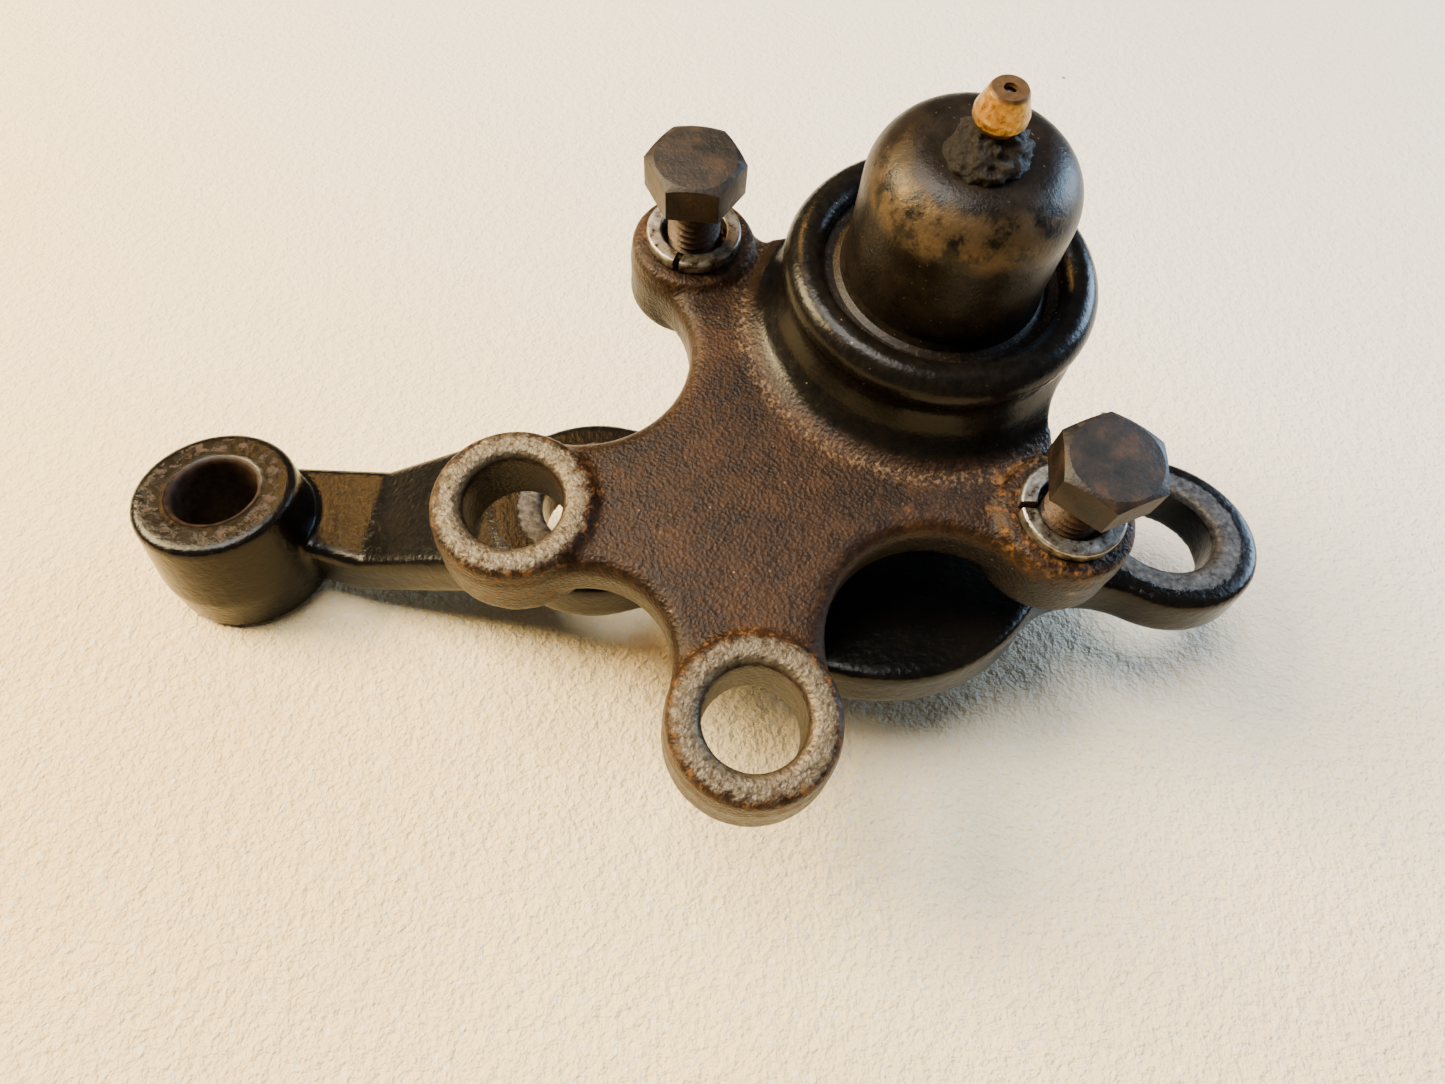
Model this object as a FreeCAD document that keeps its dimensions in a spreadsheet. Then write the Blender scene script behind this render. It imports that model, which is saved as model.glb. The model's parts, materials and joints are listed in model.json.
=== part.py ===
import FreeCAD, Part
import math
import os
import re
import Sketcher
from FreeCAD import Placement, Rotation, Vector

# Lower ball joint of a front suspension, standing on its steering arm.
# Millimetres. Origin: where the strut pilot's axis meets the pilot's flat end.
# +Z runs up the pilot, +X from the left strut bolt hole to the right one.
# The ball joint's own pieces are drawn about the ball's centre, with the housing's
# axis as Z, and stand at the housing's lean and turn.

SIZES = {
    # the ball joint's pose on the arm
    "ball_height": 49.2,
    "housing_lean": 11.4,
    "housing_turn": 49.7,
    # ball stud
    "ball_radius": 12.5,
    "neck_radius": 6.5,
    "cone_top_radius": 8.0,
    "cone_end_radius": 7.1,
    "stud_thread_radius": 6.0,
    "stud_end_height": 0.8,
    "cotter_height": 3.6,
    "cotter_hole_radius": 1.6,
    # steering arm
    "arm_top": 23.6,
    "arm_thickness": 8.2,
    "right_boss_radius": 15.5,
    "left_boss_radius": 17.3,
    "bolt_hole_radius": 8.45,
    "bolt_row": -16.8,
    "right_bolt_place": 44.1,
    "left_bolt_place": -48.7,
    "belly_radius": 28.4,
    "belly_across": -4.5,
    "belly_along": -18.5,
    "stud_boss_radius": 17.5,
    "stud_boss_top": 27.0,
    "stud_boss_top_radius": 14.0,
    "pilot_radius": 21.0,
    "pilot_pocket_radius": 14.5,
    "nut_seat_height": 12.6,
    "rod_boss_across": -110.2,
    "rod_boss_along": -16.5,
    "rod_boss_radius": 12.7,
    "rod_boss_parting": 8.0,
    "rod_boss_top": 21.4,
    "rod_bore_top_radius": 6.6,
    "rod_bore_end_radius": 5.3,
    "beam_pad_height": 12.8,
    "beam_floor_height": 3.2,
    # ball joint housing
    "ear_top": 2.0,
    "ear_thickness": 11.3,
    "ear_radius": 10.9,
    "bolt_ear_radius": 9.4,
    "ear_hole_radius": 6.55,
    "near_ear_across": -13.2,
    "near_ear_along": 34.3,
    "far_ear_across": -62.6,
    "far_ear_along": 21.25,
    "plate_top": 0.8,
    "plate_thickness": 8.6,
    "hub_radius": 22.0,
    "barrel_radius": 20.9,
    "barrel_foot_radius": 26.7,
    "roll_radius": 22.1,
    "roll_top": 14.1,
    "roll_foot": 9.1,
    "roll_mouth_radius": 16.4,
    "chamber_radius": 17.0,
    "skirt_radius": 18.8,
    "skirt_foot": -12.0,
    "throat_radius": 10.9,
    "throat_height": -6.6,
    "throat_mouth_radius": 13.7,
    # dome cover and gasket
    "cover_flange_radius": 18.9,
    "cover_flange_foot": 9.4,
    "cover_sheet": 2.0,
    "gasket_sheet": 0.8,
    "dome_radius": 13.7,
    "dome_top": 32.7,
    "dome_shoulder": 7.0,
    # seats, liner and spring
    "liner_gap": 0.05,
    "liner_wall": 1.15,
    "seat_radius": 16.9,
    "seat_top": 8.4,
    "seat_crown_radius": 11.4,
    "seat_crown_top": 15.4,
    "spring_radius": 8.0,
    "spring_wire": 2.4,
    "spring_pitch": 4.1,
    # grease nipple
    "nipple_tip_height": 40.8,
    "nipple_tip_radius": 2.1,
    "nipple_head_radius": 3.27,
    "nipple_neck_radius": 2.4,
    "nipple_base_radius": 3.6,
    "nipple_thread_radius": 3.0,
    "nipple_bore_radius": 1.3,
    "nipple_mouth_radius": 0.8,
    "check_ball_radius": 1.15,
    # flange bolts and lock washers
    "bolt_radius": 4.0,
    "bolt_across_flats": 12.6,
    "bolt_head_height": 5.6,
    "left_bolt_head_top": 17.5,
    "right_bolt_head_top": 16.8,
    "bolt_end": -13.0,
    "washer_radius": 7.15,
    "washer_hole_radius": 4.85,
    "washer_thickness": 2.0,
    "washer_gap": 1.0,
    # castle nut and cotter pin
    "nut_across_flats": 19.0,
    "nut_end_height": 1.2,
    "nut_slot_depth": 4.4,
    "nut_slot_width": 3.4,
    "cotter_wire_radius": 0.62,
    # dust boot and its rings
    "boot_wall": 1.3,
    "boot_foot_radius": 9.6,
    "boot_mouth_radius": 20.4,
    "boot_foot_height": 27.3,
    "boot_lip_height": -10.4,
    "ring_wire_radius": 0.7,
}

document = FreeCAD.newDocument("ball_joint_on_steering_arm")
sheet = document.addObject("Spreadsheet::Sheet", "sizes")
for row, (name, number) in enumerate(SIZES.items(), start=1):
    sheet.set("A%d" % row, name)
    sheet.set("B%d" % row, str(number))
    sheet.setAlias("B%d" % row, name)
document.recompute()

ALIAS = re.compile(r"\b(" + "|".join(SIZES) + r")\b")


def bound(formula):
    """A formula in the sheet's names, as the document's expressions write it."""
    return ALIAS.sub(r"sizes.\1", str(formula))


def value(formula):
    """The formula's present value, a plain number."""
    result = sheet.evalExpression(bound(formula))
    return float(getattr(result, "Value", result))


# ---------------------------------------------------------------- shared modelling steps

sub_parts = []


def keep(piece, label):
    """Name a finished sub-part and put it on the list of files to write."""
    piece.Label = label
    sub_parts.append(piece)
    return piece


def on_arm(piece):
    """A piece of the arm stands in the part's own frame."""
    piece.Placement = Placement()
    return piece


def on_ball_joint(piece):
    """A piece drawn about the ball's centre leans and turns with the housing."""
    lean = Rotation(Vector(1, 0, 0), value("housing_lean"))
    turn = Rotation(Vector(0, 0, 1), value("housing_turn"))
    piece.Placement = Placement(Vector(0, 0, value("ball_height")), lean.multiply(turn))
    return piece


def new_body(label):
    """An empty PartDesign body."""
    body = document.addObject("PartDesign::Body", label + "_body")
    return keep(body, label)


def origin_plane(body, role):
    """One of a body's own origin planes."""
    return next(plane for plane in body.Origin.OriginFeatures if plane.Role == role)


def new_sketch(body, name, role="XY_Plane", height="0"):
    """A sketch on an origin plane, raised by a height along the plane's normal."""
    sketch = body.newObject("Sketcher::SketchObject", name)
    sketch.AttachmentSupport = [(origin_plane(body, role), "")]
    sketch.MapMode = "FlatFace"
    if height != "0":
        sketch.AttachmentOffset = Placement(Vector(0, 0, value(height)), Rotation())
        sketch.setExpression("AttachmentOffset.Base.z", bound(height))
    return sketch


def constrain(sketch, kind, *where, formula):
    """A dimension of the sketch, bound to the sheet."""
    index = sketch.addConstraint(Sketcher.Constraint(kind, *where, value(formula)))
    sketch.setExpression("Constraints[%d]" % index, bound(formula))


def place_point(sketch, shape, point, across, along):
    """Hold one point of the sketch at a place given by two formulas."""
    if abs(value(across)) < 1e-9:
        sketch.addConstraint(Sketcher.Constraint("PointOnObject", shape, point, -2))
    else:
        constrain(sketch, "DistanceX", -1, 1, shape, point, formula=across)
    if abs(value(along)) < 1e-9:
        sketch.addConstraint(Sketcher.Constraint("PointOnObject", shape, point, -1))
    else:
        constrain(sketch, "DistanceY", -1, 1, shape, point, formula=along)


def draw_polygon(sketch, corners):
    """A closed outline of straight lines through corners given as pairs of formulas."""
    first = sketch.GeometryCount
    points = [Vector(value(across), value(along), 0) for across, along in corners]
    for start, end in zip(points, points[1:] + points[:1]):
        sketch.addGeometry(Part.LineSegment(start, end))
    count = len(corners)
    for step in range(count):
        following = first + (step + 1) % count
        sketch.addConstraint(Sketcher.Constraint("Coincident", first + step, 2, following, 1))
    for step, (across, along) in enumerate(corners):
        place_point(sketch, first + step, 1, across, along)


def draw_circle(sketch, across, along, radius):
    """A circle whose centre and radius are formulas."""
    centre = Vector(value(across), value(along), 0)
    shape = sketch.addGeometry(Part.Circle(centre, Vector(0, 0, 1), value(radius)))
    place_point(sketch, shape, 3, across, along)
    constrain(sketch, "Radius", shape, formula=radius)


def hollow_centre(lobe, following, radius):
    """Centre of the hollow arc that touches two lobes, outside a counter-clockwise outline."""
    span = following[0] - lobe[0]
    near = lobe[1] + radius
    far = following[1] + radius
    along = (near ** 2 - far ** 2 + span.Length ** 2) / (2 * span.Length)
    outward = Vector(span.y, -span.x, 0).normalize()
    return lobe[0] + span.normalize() * along + outward * math.sqrt(near ** 2 - along ** 2)


def draw_lobes(sketch, lobes, hollows):
    """An outline of round lobes, each joined to the next by a hollow arc that touches both.

    Lobes are (across, along, radius) formulas in counter-clockwise order.
    """
    rounds = [(Vector(value(across), value(along), 0), value(radius))
              for across, along, radius in lobes]
    count = len(rounds)
    first = sketch.GeometryCount
    centres = [hollow_centre(rounds[step], rounds[(step + 1) % count], value(hollows[step]))
               for step in range(count)]

    def bearing(start, end):
        return math.atan2(end.y - start.y, end.x - start.x)

    for step in range(count):
        centre, radius = rounds[step]
        start = bearing(centre, centres[step - 1])
        end = bearing(centre, centres[step])
        circle = Part.Circle(centre, Vector(0, 0, 1), radius)
        sketch.addGeometry(Part.ArcOfCircle(circle, start, end))
        following = rounds[(step + 1) % count][0]
        start = bearing(centres[step], following)
        end = bearing(centres[step], centre)
        circle = Part.Circle(centres[step], Vector(0, 0, 1), value(hollows[step]))
        sketch.addGeometry(Part.ArcOfCircle(circle, start, end))
    for step in range(count):
        lobe = first + 2 * step
        hollow = lobe + 1
        following = first + 2 * ((step + 1) % count)
        place_point(sketch, lobe, 3, lobes[step][0], lobes[step][1])
        constrain(sketch, "Radius", lobe, formula=lobes[step][2])
        constrain(sketch, "Radius", hollow, formula=hollows[step])
        sketch.addConstraint(Sketcher.Constraint("Tangent", lobe, 2, hollow, 2))
        sketch.addConstraint(Sketcher.Constraint("Tangent", hollow, 1, following, 1))


def pad(body, sketch, length, both_ways=False):
    """Raise a sketch into a solid."""
    feature = body.newObject("PartDesign::Pad", sketch.Name + "_pad")
    feature.Profile = sketch
    feature.setExpression("Length", bound(length))
    feature.Midplane = both_ways
    document.recompute()
    return feature


def pocket(body, sketch, depth):
    """Cut a sketch downwards by a depth, or right through both ways."""
    before = body.Shape.Volume
    feature = body.newObject("PartDesign::Pocket", sketch.Name + "_pocket")
    feature.Profile = sketch
    if depth == "through":
        feature.Midplane = True
        feature.Type = 1
    else:
        feature.setExpression("Length", bound(depth))
    document.recompute()
    if body.Shape.Volume >= before:
        raise ValueError(sketch.Name + " cuts nothing")
    return feature


def revolve(body, name, corners):
    """Turn an outline of (radius, height) formulas about the body's Z axis."""
    sketch = new_sketch(body, name, "XZ_Plane")
    draw_polygon(sketch, corners)
    feature = body.newObject("PartDesign::Revolution", name + "_turned")
    feature.Profile = sketch
    feature.ReferenceAxis = (sketch, ["V_Axis"])
    feature.Angle = 360
    document.recompute()
    return feature


def groove(body, name, corners):
    """Cut an outline of (radius, height) formulas all round the body's Z axis."""
    before = body.Shape.Volume
    sketch = new_sketch(body, name, "XZ_Plane")
    draw_polygon(sketch, corners)
    feature = body.newObject("PartDesign::Groove", name + "_groove")
    feature.Profile = sketch
    feature.ReferenceAxis = (sketch, ["V_Axis"])
    feature.Angle = 360
    document.recompute()
    if body.Shape.Volume >= before:
        raise ValueError(name + " cuts nothing")
    return feature


def solid_of_rotation(body, kind, name, sizes, across="0", along="0", height="0"):
    """A PartDesign primitive, such as a boss or a bore, standing on the body's XY plane."""
    feature = body.newObject("PartDesign::" + kind, name)
    for key, formula in sizes.items():
        feature.setExpression(key, bound(formula))
    for key, formula in (("x", across), ("y", along), ("z", height)):
        feature.setExpression("Placement.Base." + key, bound(formula))
    document.recompute()
    return feature


def edges_where(feature, test):
    """Names of a feature's edges whose midpoint and curve pass a test."""
    names = []
    for number, edge in enumerate(feature.Shape.Edges, start=1):
        middle = edge.valueAt((edge.FirstParameter + edge.LastParameter) / 2)
        if test(edge, middle):
            names.append("Edge%d" % number)
    return names


def soften(body, feature, kind, length, test):
    """Round (Fillet) or bevel (Chamfer) the chosen edges of the last feature."""
    names = edges_where(feature, test)
    softened = body.newObject("PartDesign::" + kind, feature.Name + "_" + kind.lower())
    softened.Base = (feature, names)
    softened.setExpression("Radius" if kind == "Fillet" else "Size", bound(length))
    document.recompute()
    return softened


def is_level(height):
    """A test for edges that lie at one height."""
    return lambda edge, middle: (edge.BoundBox.ZLength < 1e-4
                                 and abs(middle.z - value(height)) < 1e-4)


# ---------------------------------------------------------------- steering arm

def make_steering_arm():
    """Forged arm: a plate with two strut bolt bosses, the stud boss over the hollow strut
    pilot, and a beam that drops to the tie rod boss."""
    body = on_arm(new_body("steering_arm"))
    plate = new_sketch(body, "plate", "XY_Plane", "arm_top - arm_thickness")
    draw_lobes(plate, [
        ("right_bolt_place", "bolt_row", "right_boss_radius"),
        ("0", "0", "stud_boss_radius"),
        ("left_bolt_place", "bolt_row", "left_boss_radius"),
        ("belly_across", "belly_along", "belly_radius")], ["25", "30", "14", "14"])
    forged = pad(body, plate, "arm_thickness")
    soften(body, forged, "Fillet", "1.4", lambda edge, middle: edge.BoundBox.ZLength < 1e-4)

    beam_side = new_sketch(body, "beam_side", "XZ_Plane", "-rod_boss_along - 2")
    draw_polygon(beam_side, [
        ("rod_boss_across + 4", "beam_floor_height"),
        ("rod_boss_across + 22", "beam_floor_height"),
        ("left_bolt_place - 14", "arm_top - arm_thickness + 0.2"),
        ("left_bolt_place - 9.9", "arm_top - arm_thickness + 0.2"),
        ("left_bolt_place - 9.9", "arm_top - 0.4"),
        ("left_bolt_place - 17.5", "arm_top - 0.4"),
        ("rod_boss_across + 23", "beam_pad_height"),
        ("rod_boss_across + 4", "beam_pad_height")])
    pad(body, beam_side, "60", both_ways=True)
    beam_trim = new_sketch(body, "beam_trim")
    draw_polygon(beam_trim, [
        ("rod_boss_across + 3", "rod_boss_along - 40"),
        ("left_bolt_place - 9.8", "rod_boss_along - 40"),
        ("left_bolt_place - 9.8", "bolt_row - left_boss_radius + 2"),
        ("rod_boss_across + 3", "rod_boss_along - 2.2")])
    draw_polygon(beam_trim, [
        ("rod_boss_across + 3", "rod_boss_along + 13.4"),
        ("left_bolt_place - 9.8", "bolt_row + left_boss_radius - 3.2"),
        ("left_bolt_place - 9.8", "rod_boss_along + 44"),
        ("rod_boss_across + 3", "rod_boss_along + 44")])
    trimmed = pocket(body, beam_trim, "through")
    soften(body, trimmed, "Fillet", "2.0",
           lambda edge, middle: (edge.BoundBox.XLength > 9 and edge.Curve.TypeId == "Part::GeomLine"
                                 and middle.x < value("left_bolt_place - 17.5")))

    foot_sizes = {"Radius1": "rod_boss_radius + 0.3", "Radius2": "rod_boss_radius + 1",
                  "Height": "rod_boss_parting"}
    foot = solid_of_rotation(body, "AdditiveCone", "rod_boss_foot", foot_sizes,
                             "rod_boss_across", "rod_boss_along")
    soften(body, foot, "Fillet", "1.4", is_level("0"))
    crown_sizes = {"Radius1": "rod_boss_radius + 1", "Radius2": "rod_boss_radius - 0.1",
                   "Height": "rod_boss_top - rod_boss_parting"}
    crown = solid_of_rotation(body, "AdditiveCone", "rod_boss_crown", crown_sizes,
                              "rod_boss_across", "rod_boss_along", "rod_boss_parting")
    soften(body, crown, "Fillet", "1.2", is_level("rod_boss_top"))
    boss_sizes = {"Radius1": "stud_boss_radius", "Radius2": "stud_boss_top_radius",
                  "Height": "stud_boss_top - arm_top"}
    solid_of_rotation(body, "AdditiveCone", "stud_boss", boss_sizes, height="arm_top")
    pilot_sizes = {"Radius": "pilot_radius", "Height": "arm_top - arm_thickness"}
    solid_of_rotation(body, "AdditiveCylinder", "strut_pilot", pilot_sizes)

    groove(body, "stud_way", [
        ("0", "-1"), ("pilot_pocket_radius", "-1"), ("pilot_pocket_radius", "nut_seat_height"),
        ("cone_end_radius + 0.02", "nut_seat_height"),
        ("cone_top_radius + 0.02", "stud_boss_top"),
        ("cone_top_radius + 0.02", "stud_boss_top + 1"), ("0", "stud_boss_top + 1")])
    for side in ("right", "left"):
        holes = {"Radius": "bolt_hole_radius", "Height": "arm_thickness + 2"}
        drilled = solid_of_rotation(body, "SubtractiveCylinder", side + "_bolt_hole", holes,
                                    side + "_bolt_place", "bolt_row",
                                    "arm_top - arm_thickness - 1")
    bore = {"Radius1": "rod_bore_end_radius", "Radius2": "rod_bore_top_radius",
            "Height": "rod_boss_top"}
    drilled = solid_of_rotation(body, "SubtractiveCone", "rod_bore", bore,
                                "rod_boss_across", "rod_boss_along")
    soften(body, drilled, "Chamfer", "0.7",
           lambda edge, middle: (edge.Curve.TypeId == "Part::GeomCircle"
                                 and abs(edge.Curve.Radius - value("bolt_hole_radius")) < 1e-3
                                 and is_level("arm_top")(edge, middle)))


# ---------------------------------------------------------------- ball stud, nut and cotter

def make_ball_stud():
    """Forged stud: ball, neck, cone that wedges in the arm, and a threaded end."""
    body = on_arm(new_body("ball_stud"))
    revolve(body, "shank", [
        ("0", "stud_end_height"), ("stud_thread_radius - 0.8", "stud_end_height"),
        ("stud_thread_radius", "stud_end_height + 0.8"),
        ("stud_thread_radius", "nut_seat_height - 1"),
        ("cone_end_radius", "nut_seat_height"), ("cone_top_radius", "stud_boss_top"),
        ("cone_top_radius", "stud_boss_top + 1.2"), ("neck_radius", "stud_boss_top + 3.4"),
        ("neck_radius", "ball_height - ball_radius + 1"), ("0", "ball_height")])
    solid_of_rotation(body, "AdditiveSphere", "ball", {"Radius": "ball_radius"},
                      height="ball_height")
    hole = new_sketch(body, "cotter_hole", "XZ_Plane")
    draw_circle(hole, "0", "cotter_height", "cotter_hole_radius")
    pocket(body, hole, "through")


def make_castle_nut():
    """Hexagon nut with six slots in its lower face for the cotter pin."""
    body = on_arm(new_body("castle_nut"))
    blank = new_sketch(body, "hexagon", "XY_Plane", "nut_end_height")
    corner = "nut_across_flats / sqrt(3)"
    draw_polygon(blank, [("%s * cos(%d deg)" % (corner, angle), "%s * sin(%d deg)" % (corner, angle))
                         for angle in range(0, 360, 60)])
    pad(body, blank, "nut_seat_height - nut_end_height")
    groove(body, "thread_way", [
        ("0", "nut_end_height - 1"), ("stud_thread_radius + 0.05", "nut_end_height - 1"),
        ("stud_thread_radius + 0.05", "nut_seat_height - 1.2"),
        ("cone_end_radius + 0.4", "nut_seat_height"),
        ("cone_end_radius + 0.4", "nut_seat_height + 1"), ("0", "nut_seat_height + 1")])
    groove(body, "corner_bevel", [
        ("nut_across_flats / 2 - 0.6", "nut_end_height - 0.1"),
        ("nut_across_flats", "nut_end_height - 0.1"),
        ("nut_across_flats", "nut_end_height + 4.6")])
    slot = new_sketch(body, "slot", "XY_Plane", "nut_end_height + nut_slot_depth")
    draw_polygon(slot, [
        ("-nut_slot_width / 2", "stud_thread_radius - 1"), ("nut_slot_width / 2", "stud_thread_radius - 1"),
        ("nut_slot_width / 2", "nut_across_flats"), ("-nut_slot_width / 2", "nut_across_flats")])
    cut = pocket(body, slot, "nut_slot_depth + 1")
    slots = body.newObject("PartDesign::PolarPattern", "six_slots")
    slots.Originals = [cut]
    slots.Axis = (slot, ["N_Axis"])
    slots.Angle = 360
    slots.Occurrences = 6
    body.Tip = slots
    document.recompute()


def make_cotter_pin():
    """Hairpin of round wire through the stud, with an eye and two legs bent apart."""
    height = value("cotter_height")
    wire = value("cotter_wire_radius")
    apart = wire + 0.04
    reach = value("nut_across_flats") / 2
    half = [(apart * 6, reach + 1.9), (apart, reach + 0.8), (apart, -reach - 0.4),
            (apart * 2.6, -reach - 1.2), (apart * 2.9, -reach - 2.3), (apart * 1.8, -reach - 3.4)]
    crown = [(0, -reach - 3.8)]
    route = half + crown + [(-across, along) for across, along in reversed(half)]
    points = [Vector(across, along, height) for across, along in route]
    section = Part.Wire(Part.makeCircle(wire, points[0], points[1] - points[0]))
    pin = document.addObject("Part::Feature", "cotter_pin_wire")
    pin.Shape = Part.makePolygon(points).makePipeShell([section], True, False, 1)
    keep(on_arm(pin), "cotter_pin")


# ---------------------------------------------------------------- ball joint housing

EARS = {
    "left": ("near_ear_across", "near_ear_along", "bolt_ear_radius"),
    "far_left": ("far_ear_across", "far_ear_along", "ear_radius"),
    "far_right": ("far_ear_across", "-far_ear_along", "ear_radius"),
    "right": ("near_ear_across", "-near_ear_along", "bolt_ear_radius"),
}


def make_housing():
    """Iron casting: a barrel whose rolled rim holds the cover, and a flange with four ears."""
    body = on_ball_joint(new_body("ball_joint_housing"))
    lobes = [(across, along, radius + " + 0.4") for across, along, radius in EARS.values()]
    lobes.append(("0", "0", "hub_radius"))
    hollows = ["15.5", "11.9", "15.5", "7", "7"]
    revolve(body, "flare", [
        ("0", "plate_top - plate_thickness"), ("skirt_radius + 2", "plate_top - plate_thickness"),
        ("barrel_foot_radius - 2", "plate_top - 2"), ("barrel_foot_radius", "plate_top"),
        ("barrel_foot_radius - 2.6", "plate_top + 1.3"),
        ("barrel_foot_radius - 4.4", "plate_top + 3.4"), ("barrel_radius", "plate_top + 6.4"),
        ("0", "plate_top + 6.4")])
    trim = new_sketch(body, "flare_trim")
    draw_circle(trim, "0", "0", "barrel_foot_radius * 4")
    draw_lobes(trim, lobes, hollows)
    pocket(body, trim, "through")
    flange = new_sketch(body, "flange", "XY_Plane", "plate_top - plate_thickness")
    draw_lobes(flange, lobes, hollows)
    plate = pad(body, flange, "plate_thickness")
    soften(body, plate, "Fillet", "2.4",
           lambda edge, middle: ((is_level("plate_top")(edge, middle)
                                  or is_level("plate_top - plate_thickness")(edge, middle))
                                 and math.hypot(middle.x, middle.y) > value("barrel_foot_radius")))
    for name, (across, along, radius) in EARS.items():
        boss_sizes = {"Radius1": radius + " + 0.7", "Radius2": radius, "Height": "ear_thickness"}
        boss = solid_of_rotation(body, "AdditiveCone", name + "_ear", boss_sizes,
                                 across, along, "ear_top - ear_thickness")

        def on_this_ear(edge, middle):
            reach = math.hypot(middle.x - value(across), middle.y - value(along))
            return (edge.BoundBox.ZLength < 1e-4 and abs(reach - value(radius) - 0.35) < 0.4
                    and (is_level("ear_top")(edge, middle)
                         or is_level("ear_top - ear_thickness")(edge, middle)))

        soften(body, boss, "Fillet", "1.1", on_this_ear)

    revolve(body, "barrel", [
        ("throat_mouth_radius", "skirt_foot"), ("skirt_radius - 0.8", "skirt_foot"),
        ("skirt_radius", "skirt_foot + 0.8"), ("skirt_radius", "skirt_foot + 3"),
        ("barrel_radius", "plate_top - plate_thickness"),
        ("barrel_radius", "roll_foot"), ("roll_radius - 0.4", "roll_foot + 0.7"),
        ("roll_radius", "roll_foot + 1.6"), ("roll_radius", "roll_top - 2.6"),
        ("roll_radius - 0.5", "roll_top - 1.5"), ("roll_radius - 1.5", "roll_top - 0.5"),
        ("roll_radius - 2.9", "roll_top"), ("roll_mouth_radius + 1.4", "roll_top - 0.2"),
        ("roll_mouth_radius", "roll_top - 1.2"),
        ("roll_mouth_radius", "cover_flange_foot + cover_sheet + 0.02"),
        ("cover_flange_radius + 0.05", "cover_flange_foot + cover_sheet + 0.02"),
        ("cover_flange_radius + 0.05", "cover_flange_foot - gasket_sheet"),
        ("chamber_radius", "cover_flange_foot - gasket_sheet"),
        ("chamber_radius", "throat_height"), ("throat_radius", "throat_height")])
    groove(body, "chamber", [
        ("0", "throat_height"), ("chamber_radius", "throat_height"),
        ("chamber_radius", "plate_top + 7"), ("0", "plate_top + 7")])
    groove(body, "throat", [
        ("0", "skirt_foot - 1"), ("throat_mouth_radius + 0.3", "skirt_foot - 1"),
        ("throat_radius", "throat_height + 0.1"), ("0", "throat_height + 0.1")])
    groove(body, "boot_groove", [
        ("skirt_radius - 1.2", "boot_lip_height - 0.8"), ("skirt_radius + 4", "boot_lip_height - 0.8"),
        ("skirt_radius + 4", "boot_lip_height + 0.8"), ("skirt_radius - 1.2", "boot_lip_height + 0.8")])
    for name, (across, along, radius) in EARS.items():
        threaded = name in ("left", "right")
        bore_sizes = {"Radius": "bolt_radius + 0.04" if threaded else "ear_hole_radius",
                      "Height": "ear_thickness + 2"}
        drilled = solid_of_rotation(body, "SubtractiveCylinder", name + "_hole", bore_sizes,
                                    across, along, "ear_top - ear_thickness - 1")
    soften(body, drilled, "Chamfer", "0.9",
           lambda edge, middle: (edge.Curve.TypeId == "Part::GeomCircle"
                                 and abs(edge.Curve.Radius - value("ear_hole_radius")) < 1e-3
                                 and edge.BoundBox.ZLength < 1e-4))


def make_dome_cover():
    """Pressed steel cap: a flat flange under the rolled rim, and a tall round dome."""
    body = on_ball_joint(new_body("dome_cover"))
    inner = "dome_radius - cover_sheet"
    cap = revolve(body, "cap", [
        (inner, "cover_flange_foot"), ("cover_flange_radius", "cover_flange_foot"),
        ("cover_flange_radius", "cover_flange_foot + cover_sheet"),
        ("dome_radius + 1.4", "cover_flange_foot + cover_sheet"),
        ("dome_radius + 0.5", "cover_flange_foot + cover_sheet + 0.4"),
        ("dome_radius", "cover_flange_foot + cover_sheet + 1.4"),
        ("dome_radius", "dome_top"), ("nipple_thread_radius", "dome_top"),
        ("nipple_thread_radius", "dome_top - cover_sheet"), (inner, "dome_top - cover_sheet")])
    outer = soften(body, cap, "Fillet", "dome_shoulder",
                   lambda edge, middle: (is_level("dome_top")(edge, middle)
                                         and math.hypot(middle.x, middle.y) > value(inner)))
    soften(body, outer, "Fillet", "dome_shoulder - cover_sheet",
           lambda edge, middle: (is_level("dome_top - cover_sheet")(edge, middle)
                                 and math.hypot(middle.x, middle.y) > value(inner) - 1))


def make_ring(label, inner, outer, foot, thickness, place):
    """A plain flat ring about the body's axis."""
    body = place(new_body(label))
    revolve(body, label + "_section", [
        (inner, foot), (outer, foot), (outer, "%s + %s" % (foot, thickness)),
        (inner, "%s + %s" % (foot, thickness))])
    return body


# ---------------------------------------------------------------- seats, liner and spring

def make_ball_liner():
    """Thin slippery shell round the ball, in halves of a globe cut off above and below."""
    body = on_ball_joint(new_body("ball_liner"))
    revolve(body, "band", [("0", "-3.6"), ("ball_radius + 6", "-3.6"), ("ball_radius + 6", "5"),
                           ("0", "5")])
    inner = "ball_radius + liner_gap"
    shell = body.newObject("PartDesign::SubtractiveSphere", "ball_room")
    shell.setExpression("Radius", bound(inner))
    document.recompute()
    groove_band(body, "outside", "ball_radius + liner_gap + liner_wall")


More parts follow.
